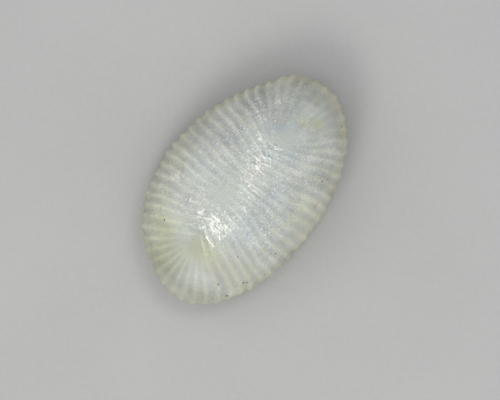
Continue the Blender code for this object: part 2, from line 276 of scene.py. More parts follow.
# Patches of the enamel in millimetres. Each list starts with how ragged its edges are and how fine
# that is; each patch has its place seen from above, its reach in x, y and z, and its strength
PATCHES = {
    "glassy": (0.25, 3.5, (
        (0.62, 0.12, 0.42, 0.74, 0.6, 0.58),
        (0.58, -0.6, 0.42, 0.7, 0.6, 0.6),
        (0.05, 0.8, 0.34, 0.28, 0.4, 0.75),
        (0.02, 1.52, 0.3, 0.3, 0.4, 0.35),
        (-0.18, 1.26, 0.3, 0.36, 0.5, 0.8),
        (-0.72, 0.6, 0.42, 0.34, 0.5, 0.4),
        (0.34, 1.0, 0.28, 0.42, 0.5, 0.45),
        (-0.85, -0.1, 0.36, 0.55, 0.5, 0.25),
        (0.0, 2.05, 0.55, 0.46, 0.6, 0.35),
        (0.12, -2.15, 0.6, 0.28, 0.6, 0.6),
    )),
    # Painted shade: both ends darkened and made yellower
    "thin": (0.25, 2.5, (
        (-0.15, 2.15, 1.0, 0.6, 1.0, 0.4),
        (0.55, 1.75, 0.4, 0.5, 0.6, 0.2),
        (1.0, 1.2, 0.5, 0.6, 0.7, 0.3),
        (0.08, -1.42, 0.45, 0.42, 0.5, 0.75),
        (0.55, -1.5, 0.55, 0.45, 0.6, 0.35),
        (-0.3, -2.1, 1.0, 0.7, 1.0, 0.85),
        (0.6, -2.15, 0.65, 0.5, 0.8, 0.5),
    )),
    "honey": (0.45, 3.0, (
        (0.14, 1.66, 0.3, 0.2, 0.5, 0.75),
        (0.34, 1.78, 0.26, 0.18, 0.5, 0.8),
        (0.26, -1.46, 0.52, 0.52, 0.5, 0.65),
        (-0.75, -1.6, 0.85, 0.8, 0.9, 0.75),
        (-0.45, -1.95, 0.8, 0.6, 0.8, 0.5),
        (-0.8, -2.02, 0.45, 0.45, 0.8, 0.9),
        (-0.86, 1.9, 0.36, 0.36, 0.6, 0.6),
        (1.24, -1.5, 0.3, 0.3, 0.6, 0.5),
        (-0.08, -1.72, 0.55, 0.36, 0.6, 0.45),
        (-1.05, -1.06, 0.34, 0.34, 0.6, 0.5),
        (0.84, 2.0, 0.24, 0.36, 0.6, 0.7),
        (-0.26, 2.36, 0.42, 0.22, 0.6, 0.6),
        (-1.2, -0.6, 0.4, 0.8, 0.6, 0.35),
        (-0.8, 0.95, 0.14, 0.1, 0.2, 0.4),
        (1.05, -0.7, 0.07, 0.06, 0.2, 0.8),
        (1.12, 0.3, 0.28, 0.6, 0.5, 0.4),
        (1.0, -1.35, 0.6, 0.7, 0.9, 0.3),
    )),
    "blush": (0.5, 4.0, (
        (-1.1, -0.66, 0.26, 0.22, 0.5, 0.9),
        (-0.5, 1.4, 0.45, 0.4, 0.5, 0.8),
        (-0.85, 0.55, 0.4, 0.6, 0.5, 0.6),
        (0.62, -1.55, 0.4, 0.5, 0.6, 0.8),
        (-0.02, 0.35, 0.2, 0.4, 0.4, 0.8),
    )),
    # Painted light: the enamel brightened where it should look most brightly lit
    "pale": (0.4, 4.0, (
        (-0.46, -0.77, 0.34, 0.24, 0.4, 1.0),
        (0.89, -0.62, 0.3, 0.34, 0.5, 1.0),
        (-0.12, 0.24, 0.42, 0.3, 0.4, 1.0),
        (0.25, 0.24, 0.22, 0.24, 0.4, 0.9),
        (0.1, 2.05, 0.55, 0.4, 0.6, 1.0),
        (0.42, 1.8, 0.3, 0.3, 0.5, 0.6),
        (1.1, 0.3, 0.28, 0.5, 0.6, 0.55),
        (-0.5, -0.98, 0.3, 0.24, 0.4, 0.6),
        (-1.09, 0.47, 0.3, 0.34, 0.5, 0.5),
        (-0.81, 1.07, 0.3, 0.26, 0.5, 0.5),
        (0.97, 1.12, 0.3, 0.32, 0.5, 0.45),
        (0.44, 0.03, 0.22, 0.24, 0.4, 0.45),
    )),
    "clear": (0.3, 3.0, (
        (-0.16, -0.38, 0.32, 0.34, 0.5, 1.0),
        (0.05, 1.28, 0.45, 0.5, 0.6, 1.0),
        (0.3, 2.0, 0.7, 0.6, 1.0, 1.0),
        (0.0, -1.75, 1.1, 0.7, 1.2, 1.0),
        (0.05, -2.3, 1.2, 0.5, 1.2, 0.9),
        (0.8, -1.35, 0.75, 0.75, 1.2, 0.9),
        (1.3, 0.3, 0.35, 1.2, 1.0, 0.5),
    )),
    # Painted shade: grooves darkened further on the posterior lip side
    "groove_shadow": (0.3, 3.0, (
        (-0.98, 1.6, 0.42, 0.7, 1.0, 1.0),
        (-0.45, 2.22, 0.4, 0.28, 0.8, 0.8),
    )),
    # Windows of the glint clusters: crazed relief there, and fleck marks painted white as glints
    "crazed": (0.5, 5.0, (
        (0.04, -0.9, 0.48, 0.4, 0.4, 1.0),
        (0.2, -0.88, 0.24, 0.26, 0.4, 0.95),
        (-0.3, -0.97, 0.2, 0.26, 0.4, 0.9),
        (-0.63, -0.83, 0.15, 0.15, 0.3, 0.9),
        (-0.08, 0.52, 0.34, 0.46, 0.4, 0.85),
        (-0.38, 0.92, 0.26, 0.24, 0.3, 0.85),
        (0.14, -0.05, 0.2, 0.25, 0.4, 0.3),
        (0.02, 0.42, 0.28, 0.36, 0.4, 0.7),
        (0.08, 0.93, 0.14, 0.12, 0.3, 0.85),
        (-0.6, -0.6, 0.3, 0.26, 0.4, 0.45),
        (-0.85, -0.2, 0.5, 0.6, 0.5, 0.22),
        (0.95, -0.75, 0.3, 0.4, 0.5, 0.22),
    )),
    # Windows of the powder: real powdery specks, opened wider in the glint clusters as painted glints and
    # on the posterior lip side as painted light
    "powdery": (0.5, 4.0, (
        (0.04, -0.85, 0.46, 0.48, 0.5, 0.9),
        (-0.1, 0.6, 0.5, 0.7, 0.5, 0.9),
        (-1.12, -0.68, 0.22, 0.15, 0.4, 3.5),
        (-1.2, -1.0, 0.25, 0.3, 0.5, 0.8),
        (-0.56, 1.22, 0.15, 0.13, 0.3, 1.8),
        (-0.82, 1.45, 0.14, 0.12, 0.3, 1.8),
        (0.92, -0.44, 0.14, 0.15, 0.3, 1.4),
        (-0.75, 0.7, 0.35, 0.55, 0.5, 0.6),
        (-0.75, 1.3, 0.42, 0.38, 0.5, 1.2),
        (0.16, -0.96, 0.14, 0.12, 0.3, 1.9),
        (0.27, -0.77, 0.13, 0.11, 0.3, 1.7),
        (-0.31, -0.87, 0.12, 0.12, 0.3, 1.7),
        (-0.12, -1.1, 0.12, 0.11, 0.3, 1.7),
        (-0.3, -1.15, 0.1, 0.1, 0.3, 1.4),
        (0.11, 0.97, 0.11, 0.08, 0.3, 1.5),
        (-0.63, -0.83, 0.12, 0.12, 0.3, 1.5),
        (-0.48, 1.62, 0.14, 0.12, 0.3, 1.8),
        (0.95, -0.45, 0.35, 0.4, 0.5, 0.4),
    )),
    "ochre": (0.7, 9.0, (
        (0.08, 2.47, 0.42, 0.1, 0.5, 1.0),
        (0.6, 2.36, 0.36, 0.15, 0.5, 1.4),
        (-0.62, 2.16, 0.3, 0.14, 0.5, 0.6),
        (1.3, 0.55, 0.05, 0.09, 0.3, 1.2),
        (1.38, 1.02, 0.1, 0.12, 0.3, 0.5),
        (0.1, 2.08, 0.18, 0.08, 0.2, 0.4),
    )),
    "rim": (0.5, 3.0, (
        (0.45, 2.3, 1.0, 0.6, 1.2, 0.45),
        (-0.6, 2.15, 0.7, 0.55, 1.2, 0.4),
        (1.3, 1.2, 0.35, 0.8, 1.0, 0.22),
        (0.84, 2.06, 0.4, 0.4, 0.8, 0.6),
    )),
}

# Single bright scratches, painted white as glints: both ends seen from above, and the strength
GLINT_SCRATCHES = (
    (-0.39, 0.95, -0.25, 0.9, 1.0),
    (-0.37, 0.77, -0.17, 0.71, 0.6),
    (0.01, 0.9, 0.15, 0.99, 0.8),
    (-0.3, 0.46, -0.23, 0.47, 0.9),
    (-0.11, 0.42, -0.01, 0.43, 1.0),
    (-0.02, 0.42, 0.08, 0.41, 1.0),
    (0.05, 0.56, 0.17, 0.59, 0.8),
    (0.04, 0.71, 0.11, 0.68, 0.7),
    (0.06, 0.05, 0.11, 0.05, 1.0),
    (0.15, 0.05, 0.34, 0.04, 0.7),
    (0.0, -0.15, 0.08, -0.14, 0.8),
    (0.2, -0.12, 0.25, -0.12, 0.9),
    (0.24, -0.31, 0.32, -0.34, 0.8),
    (-0.31, -0.95, -0.31, -0.81, 0.8),
    (-0.07, -0.84, 0.06, -0.83, 1.0),
    (-0.06, -0.98, 0.06, -1.0, 0.9),
    (0.05, -0.89, 0.2, -0.93, 1.0),
    (0.07, -0.97, 0.17, -0.98, 1.0),
    (0.16, -0.97, 0.29, -1.08, 1.0),
    (0.25, -1.02, 0.33, -0.96, 0.8),
    (0.17, -0.79, 0.35, -0.82, 0.9),
    (0.05, -1.2, 0.26, -1.26, 1.0),
    (-0.1, -1.13, -0.1, -1.05, 0.9),
    (0.66, -0.14, 0.62, -0.01, 0.6),
)

# Specks of dirt: the place seen from above, and the radius
DARK_SPECKS = (
    (-0.77, -1.45, 0.022),
    (-1.41, -0.92, 0.02),
    (0.75, -1.12, 0.015),
    (1.27, -0.63, 0.017),
    (0.89, 1.25, 0.015),
    (1.11, 0.99, 0.016),
    (-0.79, 1.6, 0.014),
)
RUST_SPECKS = (
    (1.06, -1.84, 0.038),
    (0.79, -1.77, 0.026),
    (1.15, -1.45, 0.028),
    (1.2, -1.4, 0.024),
    (0.75, 2.05, 0.026),
    (1.39, 0.93, 0.022),
    (1.51, -0.41, 0.018),
    (1.36, -1.07, 0.014),
)


NUMBER_KINDS = {
    "length": {"min": 0.0, "precision": 6, "subtype": "DISTANCE", "unit": "LENGTH"},
    "power": {"min": 0.0, "subtype": "POWER", "unit": "POWER"},
    "share": {"min": 0.0, "max": 1.0, "subtype": "FACTOR"},
    "sharpness": {"min": 0.5, "max": 8.0},
    "strength": {"min": 0.0},
}


def number(kind, name, description, default, **limits):
    """A number setting of one of the kinds above, with its own limits where it has any."""
    settings = {**NUMBER_KINDS[kind], **limits}
    return bpy.props.FloatProperty(name=name, description=description, default=default, **settings)


def colour_property(name, description, default):
    return bpy.props.FloatVectorProperty(
        name=name, description=description, default=default, size=3, min=0.0, max=1.0, subtype="COLOR"
    )


class ShellShape(bpy.types.PropertyGroup):
    """Relief of the shell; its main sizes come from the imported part."""

    columns_per_rib: bpy.props.IntProperty(
        name="Columns per Rib",
        description="Mesh columns from one rib's crest to the next",
        default=15,
        min=3,
        max=15,
    )
    rib_height_lip_side: number(
        "length", "Rib Height, Lip Side",
        "Height of the ribs at the margin on the outer lip's side", 0.046 * MM
    )
    rib_height_body_side: number(
        "length", "Rib Height, Body Side", "Height of the ribs at the margin on the body's side", 0.020 * MM
    )
    rib_height_posterior: number(
        "length", "Rib Height, Posterior",
        "Height of the ribs at the margin of the posterior end", 0.024 * MM
    )
    tooth_height: number(
        "length", "Tooth Height", "Height of the teeth in which the ribs end on the lips", 0.055 * MM
    )
    strip_rib_share: number(
        "share", "Ribs in the Strip",
        "What is left of the ribs' height in the smooth strip along the top", 0.74
    )
    rib_sharpness: number(
        "sharpness", "Rib Sharpness", "Power of the rib's profile; a higher one makes crests narrower", 1.3
    )
    strip_sharpness: number(
        "sharpness", "Strip Sharpness", "Power of the rib's profile in the smooth strip along the top", 2.5
    )
    rib_unevenness: number(
        "share", "Rib Unevenness", "Share by which a rib's height comes and goes along its course", 0.35
    )
    rib_wander: number(
        "share", "Rib Wander",
        "How far a crest strays from its even course, as a share of the rib spacing", 0.5
    )
    growth_line_height: number(
        "length", "Growth Line Height",
        "Height of the coarse growth lines that run along the shell", 0.0022 * MM
    )
    swell_height: number("length", "Swell Height", "Height of the slow swells of the surface", 0.014 * MM)
    knob_height: number(
        "length", "Knob Height",
        "Height of the low knob over the covered spire at the posterior end", 0.05 * MM
    )


class ShellFinish(bpy.types.PropertyGroup):
    """Colours and gloss of the enamel."""

    enamel_colour: colour_property("Enamel", "Plain enamel on the flanks", (0.59, 0.613, 0.568))
    strip_colour: colour_property("Top Strip", "Thick enamel along the top", (0.523, 0.556, 0.512))
    margin_colour: colour_property("Margin", "Warmer enamel at the margin and below", (0.605, 0.612, 0.478))
    # Painted shade in the grooves, with the bluer tint of thinner enamel
    groove_shade_colour: colour_property("Grooves", "Colour that darkens the grooves", (0.85, 0.872, 0.93))
    glass_colour: colour_property("Glassy Patches", "Blue-grey of glassy patches", (0.465, 0.517, 0.532))
    honey_colour: colour_property("Honey Patches", "Yellow-green of stained patches", (0.55, 0.57, 0.385))
    # Painted shade: darker, yellower colour at both ends
    end_shade_colour: colour_property("Thin Ends", "Thinner, duller enamel at both ends", (0.385, 0.395, 0.29))
    hollow_colour: colour_property("Hollow", "Smooth wall inside", (0.58, 0.56, 0.48))
    roughness: number("share", "Roughness", "Roughness of the enamel between its glossy flecks", 0.50)
    coat: number("share", "Gloss", "Weight of the thin glossy coat", 0.12)


class StudioStage(bpy.types.PropertyGroup):
    """Floor, lights and camera."""

    floor_colour: colour_property("Floor", "Colour of the plain floor", (0.46, 0.46, 0.465))
    floor_radius: number("length", "Floor Radius", "Radius of the round floor", 120.0 * MM, min=10.0 * MM)
    top_power: number("power", "Top Light", "Power of the large soft light overhead", 0.1028)
    anterior_power: number("power", "Anterior Lamp", "Lamp that glints on the anterior half", 0.0080)
    posterior_power: number("power", "Posterior Lamp", "Lamp that glints on the posterior half", 0.0036)
    room_strength: number("strength", "Room Light", "Strength of the even light from all around", 0.50)
    camera_distance: number(
        "length", "Camera Distance",
        "Height of the camera over the shell's margin", 100.0 * MM, min=20.0 * MM
    )


def smooth_step(low, high, value):
    share = np.clip((value - low) / (high - low), 0.0, 1.0)
    return share * share * (3.0 - 2.0 * share)


def outline_point(angle):
    """Point of the smooth outline at an angle, clockwise from the posterior tip."""
    reach = np.full_like(angle, OUTLINE_FULLNESS)
    for middle, spread, height in OUTLINE_SWELLS:
        apart = (angle - middle + math.pi) % TAU - math.pi
        reach = reach + height * np.exp(-((apart / spread) ** 2))
    return np.stack([HALF_WIDTH * reach * np.sin(angle), HALF_LENGTH * reach * np.cos(angle)], axis=-1)


def rib_foot(rib):
    """Point of the outline where a rib crosses the margin; whole numbers are crests."""
    angle = np.linspace(0.0, TAU, OUTLINE_SAMPLES + 1)
    steps = np.linalg.norm(np.diff(outline_point(angle), axis=0), axis=1)
    length = np.concatenate([[0.0], np.cumsum(steps)])
    drift = RIB_DRIFT * np.sin(math.pi * (rib - RIB_DRIFT_START) / RIB_COUNT) ** RIB_DRIFT_POWER
    along = (FIRST_RIB + rib * length[-1] / RIB_COUNT + drift) % length[-1]
    return outline_point(np.interp(along, length, angle))


def reach_share(point, inset=0.0):
    """How far a point lies from the dome's centre, as a share of the way to the outline."""
    angle = np.linspace(0.0, TAU, OUTLINE_SAMPLES, endpoint=False)
    edge = outline_point(angle) - DOME_CENTRE
    edge_bearing = np.arctan2(edge[:, 0], edge[:, 1]) % TAU
    edge_reach = np.linalg.norm(edge, axis=1) - inset
    order = np.argsort(edge_bearing)
    from_centre = point - DOME_CENTRE
    bearing = np.arctan2(from_centre[..., 0], from_centre[..., 1]) % TAU
    whole = np.interp(bearing, edge_bearing[order], edge_reach[order], period=TAU)
    return np.linalg.norm(from_centre, axis=-1) / whole


def pair_y(rib):
    """Place along the shell that a rib shares with its partner from the other side."""
    return 0.5 * (rib_foot(rib)[..., 1] + rib_foot(RIB_COUNT - rib)[..., 1])


def midline_point(rib):
    """Point on the dome's middle line where a rib meets its partner from the other side."""
    y = np.clip(MIDLINE_SHARE * pair_y(rib), MIDLINE_ANTERIOR, MIDLINE_POSTERIOR)
    return np.stack([np.full_like(y, MIDLINE_X), y], axis=-1)


def margin_height(plan):
    """Height of the widest line; it is a little lower on the outer lip's side and at both ends."""
    tilt = MARGIN_TILT * plan[..., 0] / HALF_WIDTH
    drop = MARGIN_END_DROP * (plan[..., 1] / HALF_LENGTH) ** 2
    return HEIGHT * (MARGIN_HEIGHT + tilt - drop)


def rib_height(shape, place):
    """Full height of a rib over its groove at the margin, from its place round the shell."""
    side = 0.5 + 0.5 * np.clip(place[..., 0] / HALF_WIDTH, -1.0, 1.0)
    height = shape.rib_height_lip_side + (shape.rib_height_body_side - shape.rib_height_lip_side) * side
    posterior = smooth_step(POSTERIOR_DOME_START, POSTERIOR_DOME_FULL, place[..., 1])
    return height + (np.minimum(height, shape.rib_height_posterior) - height) * posterior


def outward(place):
    """Direction in which the ribs stand out from the body."""
    centre = np.array([DOME_CENTRE[0], DOME_CENTRE[1], MARGIN_HEIGHT * HEIGHT])
    radii = np.array([HALF_WIDTH, HALF_LENGTH, 0.5 * HEIGHT])
    slope = (place - centre) / radii**2
    return slope / np.linalg.norm(slope, axis=-1, keepdims=True)


def dome_place(rib, latitude, inset=0.0):
    """Points of the dome over the rib lines; latitude is 0 at the middle line and 1 at the margin."""
    start = midline_point(rib)
    foot = rib_foot(rib)
    if inset:
        away = foot - DOME_CENTRE
        foot = foot - inset * away / np.linalg.norm(away, axis=-1, keepdims=True)
    start_angle = np.arcsin(reach_share(start, inset) ** (DOME_FULLNESS / 2.0))
    angle = start_angle + (0.5 * math.pi - start_angle) * latitude
    wanted = np.sin(angle) ** (2.0 / DOME_FULLNESS)
    low = np.zeros_like(angle)
    high = np.ones_like(angle)
    for _ in range(BISECTIONS):
        middle = 0.5 * (low + high)
        inside = reach_share(start + middle[..., None] * (foot - start), inset) < wanted
        low = np.where(inside, middle, low)
        high = np.where(inside, high, middle)
    share = np.where((latitude > 0.0) & (latitude < 1.0), 0.5 * (low + high), latitude)
    plan = start + share[..., None] * (foot - start)
    rise = np.cos(angle)
    z = margin_height(plan) * (1.0 - rise) + (HEIGHT - inset) * rise
    return np.concatenate([plan, z[..., None]], axis=-1)


def aperture_point(rib):
    """Point of the aperture's rim where a rib ends, and the middle of the aperture beside it."""
    y = APERTURE_LENGTH_SHARE * pair_y(rib)
    bend = APERTURE_BEND * np.clip(y / HALF_LENGTH, 0.0, 1.0) ** 2
    middle_x = APERTURE_X + bend
    around = np.sin(TAU * rib / RIB_COUNT)
    half_width = APERTURE_HALF_WIDTH * np.sign(around) * np.abs(around) ** APERTURE_TAPER
    rim = np.stack([middle_x + half_width, y], axis=-1)
    middle = np.stack([middle_x, y], axis=-1)
    return rim, middle


def canal_share(rib):
    """How far a rib line lies in the canal at either end: 1 in its middle, 0 well beside it."""
    to_posterior = np.minimum(rib, RIB_COUNT - rib)
    to_anterior = np.abs(rib - 0.5 * RIB_COUNT)
    return np.exp(-((np.minimum(to_posterior, to_anterior) / CANAL_RIBS) ** 2))


def lowest_height(rib):
    """Height of the lowest line of the base; both ends turn up, with a canal cut in each."""
    y = rib_foot(rib)[..., 1]
    return END_UPTURN * np.abs(y / HALF_LENGTH) ** END_UPTURN_POWER + CANAL_DEPTH * canal_share(rib)


def with_height(plan, z):
    """Points from plan positions and heights."""
    return np.concatenate([plan, np.broadcast_to(z, plan.shape[:-1])[..., None]], axis=-1)


def band(place, direction, height, strip=0.0, margin=1.0, hollow=0.0, latitude=2.0):
    """One stretch of rows: smooth points, where the ribs stand out and how high, and its masks."""
    values = {"height": height, "strip": strip, "margin": margin, "hollow": hollow, "latitude": latitude}
    rows = {name: np.broadcast_to(value, place.shape[:-1]) for name, value in values.items()}
    return {"place": place, "direction": direction, **rows}


def row_shares(count):
    """How far each row lies into a stretch, without the first row, which ends the last stretch."""
    return np.linspace(0.0, 1.0, count + 1)[1:, None]


def dome_band(shape, rib):
    """Rows of the dome; its ribs fade towards the strip along the top, the knob and calm spots."""
    latitude = np.linspace(0.0, 1.0, DOME_ROWS + 1)[:, None]
    place = dome_place(rib, latitude)
    plan = place[..., :2]
    from_midline = np.linalg.norm(plan - midline_point(rib), axis=-1)
    strip = 1.0 - smooth_step(SMOOTH_STRIP_INNER, SMOOTH_STRIP_OUTER, from_midline)
    from_knob = np.linalg.norm(plan - KNOB_PLACE, axis=-1)
    fading = 1.0 - smooth_step(KNOB_PLAIN, KNOB_RIBBED, from_knob)
    spacing = np.linalg.norm(np.gradient(place, axis=1), axis=-1) * shape.columns_per_rib
    strength = 1.0 - (1.0 - shape.strip_rib_share) * strip
    body_side = smooth_step(-HALF_WIDTH, HALF_WIDTH, plan[..., 0])
    flank = FLANK_SHARE_LIP_SIDE + (FLANK_SHARE_BODY_SIDE - FLANK_SHARE_LIP_SIDE) * body_side
    strength = strength * (flank + (1.0 - flank) * smooth_step(FLANK_START, 1.0, latitude))
    fading = fading * (1.0 - smooth_step(KNOB_FADE_START, 1.0, latitude))
    strength = strength * (1.0 - (1.0 - KNOB_RIB_SHARE) * fading)
    for x, y, plain, ribbed, share in CALM_SPOTS:
        away = np.linalg.norm(plan / MM - np.array([x, y]), axis=-1)
        strength = strength * (share + (1.0 - share) * smooth_step(plain, ribbed, away))
    strength = strength * smooth_step(0.0, CROWDED_SPACING, spacing)
    margin = smooth_step(MARGIN_START, 1.0, latitude)
    height = rib_height(shape, place) * strength
    return band(place, outward(place), height, strip, margin, latitude=latitude)


def base_band(shape, rib):
    """Rows of the base, from the margin to the lowest line."""
    share = row_shares(BASE_ROWS)
    foot = rib_foot(rib)
    rim, _ = aperture_point(rib)
    angle = 0.5 * math.pi * share
    along = BASE_LOWEST_SHARE + (1.0 - BASE_LOWEST_SHARE) * np.abs(np.cos(angle)) ** BASE_FULLNESS
    plan = rim + along[..., None] * (foot - rim)
    low = lowest_height(rib)
    z = low + (margin_height(foot) - low) * (1.0 - np.sin(angle) ** BASE_FULLNESS)
    place = with_height(plan, z)
    height = rib_height(shape, with_height(foot, 0.0)) * (1.0 - share * canal_share(rib))
    return band(place, outward(place), height)


def lip_band(shape, rib):
    """Rows of the rolled lips, from the lowest line to the rim of the aperture."""
    share = row_shares(LIP_ROWS)
    foot = rib_foot(rib)
    rim, middle = aperture_point(rib)
    angle = 0.5 * math.pi * share
    along = BASE_LOWEST_SHARE * (1.0 - np.sin(angle))
    plan = rim + along[..., None] * (foot - rim)
    z = lowest_height(rib) + LIP_ROLL * (1.0 - np.cos(angle))
    place = with_height(plan, z)
    to_slit = with_height(middle - rim, 0.0) / APERTURE_HALF_WIDTH
    direction = np.cos(angle)[..., None] * outward(place) + np.sin(angle)[..., None] * to_slit
    height = rib_height(shape, with_height(foot, 0.0))
    height = height + (shape.tooth_height - height) * np.sin(angle)
    return band(place, direction, height * (1.0 - canal_share(rib)))


def throat_band(shape, rib):
    """Rows of the throat just inside the rim, where the teeth run out."""
    share = row_shares(THROAT_ROWS)
    rim, middle = aperture_point(rib)
    plan = np.broadcast_to(rim, share.shape[:1] + rim.shape)
    place = with_height(plan, lowest_height(rib) + LIP_ROLL + LIP_THROAT * share)
    to_slit = with_height(middle - rim, 0.0) / APERTURE_HALF_WIDTH
    height = shape.tooth_height * (1.0 - canal_share(rib)) * (1.0 - smooth_step(0.0, 1.0, share))
    return band(place, np.broadcast_to(to_slit, place.shape), height, hollow=share)


def hollow_band(rib):
    """Rows of the plain wall inside: its floor, out to the inner margin, and its dome."""
    share = row_shares(HOLLOW_FLOOR_ROWS)
    inner = dome_place(rib, np.ones((1, 1)), WALL)
    rim, _ = aperture_point(rib)
    throat_z = lowest_height(rib) + LIP_ROLL + LIP_THROAT
    angle = 0.5 * math.pi * share
    spread = np.sin(angle) ** HOLLOW_FLOOR_SPREAD * share
    plan = rim + spread[..., None] * (inner[..., :2] - rim)
    floor = with_height(plan, throat_z + (inner[..., 2] - throat_z) * (1.0 - np.cos(angle)))
    dome = dome_place(rib, np.linspace(1.0, 0.0, HOLLOW_DOME_ROWS + 1)[1:, None], WALL)
    place = np.concatenate([floor, dome])
    return band(place, outward(place), 0.0, hollow=1.0)


def rib_bend(rib, latitude):
    """How far the crests are shifted from their even courses, in ribs."""
    shift = 0.0
    for middle_rib, middle_latitude, rib_reach, latitude_reach, size in RIB_BENDS:
        across = (rib - middle_rib) / rib_reach
        along = (latitude - middle_latitude) / latitude_reach
        shift = shift + size * np.exp(-(across**2 + along**2))
    return shift


def noise_over(place, wavelength, seed):
    """Smooth noise over the surface, about -1 to 1, with hills about a wavelength apart."""
    shift = Vector((seed, -2.0 * seed, 0.5 * seed))
    values = [noise.noise(Vector(point) / wavelength + shift) for point in place.reshape(-1, 3)]
    return np.array(values).reshape(place.shape[:-1])


def ridge(phase, sharpness):
    """Profile across the ribs: 1 on a crest and 0 in a groove."""
    return (0.5 + 0.5 * np.cos(TAU * phase)) ** sharpness


def shell_surface(shape, rib):
    """All points of the surface, row by row, with the values that the enamel reads at each."""
    bands = [dome_band(shape, rib), base_band(shape, rib), lip_band(shape, rib)]
    bands += [throat_band(shape, rib), hollow_band(rib)]
    whole = {key: np.concatenate([part[key] for part in bands]) for key in bands[0]}
    place = whole["place"]
    strip = whole["strip"]

    # A rib and its partner meet crest to crest on the middle line, so they stray mirror-wise
    side = np.clip(MIRROR_STEEPNESS * np.sin(TAU * rib / RIB_COUNT), -1.0, 1.0)
    dome = (1.0 - whole["hollow"]) * (1.0 - whole["margin"])
    phase = rib + shape.rib_wander * side * dome * noise_over(place, *WANDER_NOISE)
    phase = phase - rib_bend(rib, whole["latitude"])
    sharpness = shape.rib_sharpness + (shape.strip_sharpness - shape.rib_sharpness) * strip
    crest = ridge(phase, sharpness)
    unevenness = 1.0 + shape.rib_unevenness * noise_over(place, *UNEVEN_NOISE)
    relief = whole["height"] * crest * unevenness

    steps = np.linalg.norm(np.diff(place, axis=0), axis=-1)
    girth = np.concatenate([np.zeros((1, len(rib))), np.cumsum(steps, axis=0)])
    turns = girth / GROWTH_LINE_SPACING + GROWTH_LINE_BEND * noise_over(place, *GROWTH_NOISE)
    relief = relief + shape.growth_line_height * dome * np.sin(TAU * turns)
    relief = relief + shape.swell_height * dome * noise_over(place, *SWELL_NOISE)
    from_knob = np.linalg.norm(place[..., :2] - KNOB_PLACE, axis=-1)
    relief = relief + shape.knob_height * dome * np.exp(-((from_knob / KNOB_REACH) ** 2))

    points = fitted(place + relief[..., None] * whole["direction"])
    full = rib_height(shape, place)
    course = np.broadcast_to(MIDLINE_SHARE * pair_y(rib), girth.shape)
    values = {
        "crest": crest * unevenness * whole["height"] / full,
        "strip": strip,
        "margin": whole["margin"],
        "hollow": whole["hollow"],
        "girth": girth / MM,
        "course": course / MM,
    }
    return points, values


def fitted(points):
    """Cut the lowest crests flat where the shell rests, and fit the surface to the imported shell."""
    points[..., 2] = np.maximum(points[..., 2], RESTING_CUT)
    flat = points.reshape(-1, 3)
    low = flat.min(axis=0)
    share = (points - low) / (flat.max(axis=0) - low)
    return np.array(SHELL_LOW) + share * np.array(SHELL_SIZE)


def shell_mesh(shape):
    """A flat grid laid over the surface: its columns follow the ribs, its rows go round."""
    columns = RIB_COUNT * shape.columns_per_rib
    rib = (np.arange(columns + 1) % columns) / shape.columns_per_rib
    points, values = shell_surface(shape, rib)
    rows = points.shape[0] - 1

    mesh = bpy.data.meshes.new("shell_surface")
    bm = bmesh.new()
    layers = {name: bm.verts.layers.float.new(name) for name in values}
    bmesh.ops.create_grid(bm, x_segments=columns, y_segments=rows, size=1.0)
    for vertex in bm.verts:
        column = round((vertex.co.x + 1.0) * 0.5 * columns)
        row = round((vertex.co.y + 1.0) * 0.5 * rows)
        vertex.co = points[row, column]
        for name, layer in layers.items():
            vertex[layer] = values[name][row, column]
    bmesh.ops.remove_doubles(bm, verts=bm.verts, dist=WELD_DISTANCE)
    bmesh.ops.recalc_face_normals(bm, faces=bm.faces)
    bm.to_mesh(mesh)
    bm.free()
    mesh.shade_smooth()
    return mesh


def add(tree, kind, inputs=None, **settings):
    """Add a node, with its settings, and give its inputs values or links by name or number."""
    node = tree.nodes.new(kind)
    for name, value in settings.items():
        setattr(node, name, value)
    for key, value in (inputs or {}).items():
        if isinstance(value, bpy.types.NodeSocket):
            tree.links.new(value, node.inputs[key])
        else:
            node.inputs[key].default_value = value
    return node


def math_node(tree, operation, first, second, clamp=False):
    settings = {"operation": operation, "use_clamp": clamp}
    return add(tree, "ShaderNodeMath", {0: first, 1: second}, **settings).outputs[0]


def times(tree, first, second, clamp=False):
    return math_node(tree, "MULTIPLY", first, second, clamp)


def minus(tree, first, second):
    return math_node(tree, "SUBTRACT", first, second)


def weighted_sum(tree, start, terms, clamp=False):
    """A start value plus several values with their weights."""
    for value, weight in terms:
        start = math_node(tree, "ADD", start, times(tree, value, weight), clamp)
    return start


def strongest(tree, masks):
    """The largest of several masks."""
    whole = masks[0]
    for mask in masks[1:]:
        whole = math_node(tree, "MAXIMUM", whole, mask)
    return whole


def vector_node(tree, operation, first, second=None):
    """Result of a vector operation; a length or a dot product comes out as one value."""
    inputs = {0: first}
    if second is not None:
        inputs["Scale" if operation == "SCALE" else 1] = second
    node = add(tree, "ShaderNodeVectorMath", inputs, operation=operation)
    return node.outputs["Value" if operation in ("LENGTH", "DOT_PRODUCT") else "Vector"]


def mix_colour(tree, factor, first, second, blend="MIX"):
    """Colour mixed or blended from two, by a mask."""
    inputs = {0: factor, 6: first, 7: second}
    for key in (6, 7):
        if not isinstance(inputs[key], bpy.types.NodeSocket):
            inputs[key] = (*inputs[key], 1.0)
    return add(tree, "ShaderNodeMix", inputs, data_type="RGBA", blend_type=blend).outputs[2]


def tint(tree, factor, colour, by):
    return mix_colour(tree, factor, colour, by, "MULTIPLY")


def remap(tree, value, low, high, to_low=0.0, to_high=1.0):
    """Value remapped from one range to another, smoothly and clamped."""
    inputs = {"Value": value, "From Min": low, "From Max": high, "To Min": to_low, "To Max": to_high}
    return add(tree, "ShaderNodeMapRange", inputs, interpolation_type="SMOOTHSTEP").outputs["Result"]


def swing(tree, value, reach, size):
    """A noise value from within a reach of 0.5, as a swing of a given size about zero."""
    return remap(tree, value, 0.5 - reach, 0.5 + reach, -size, size)


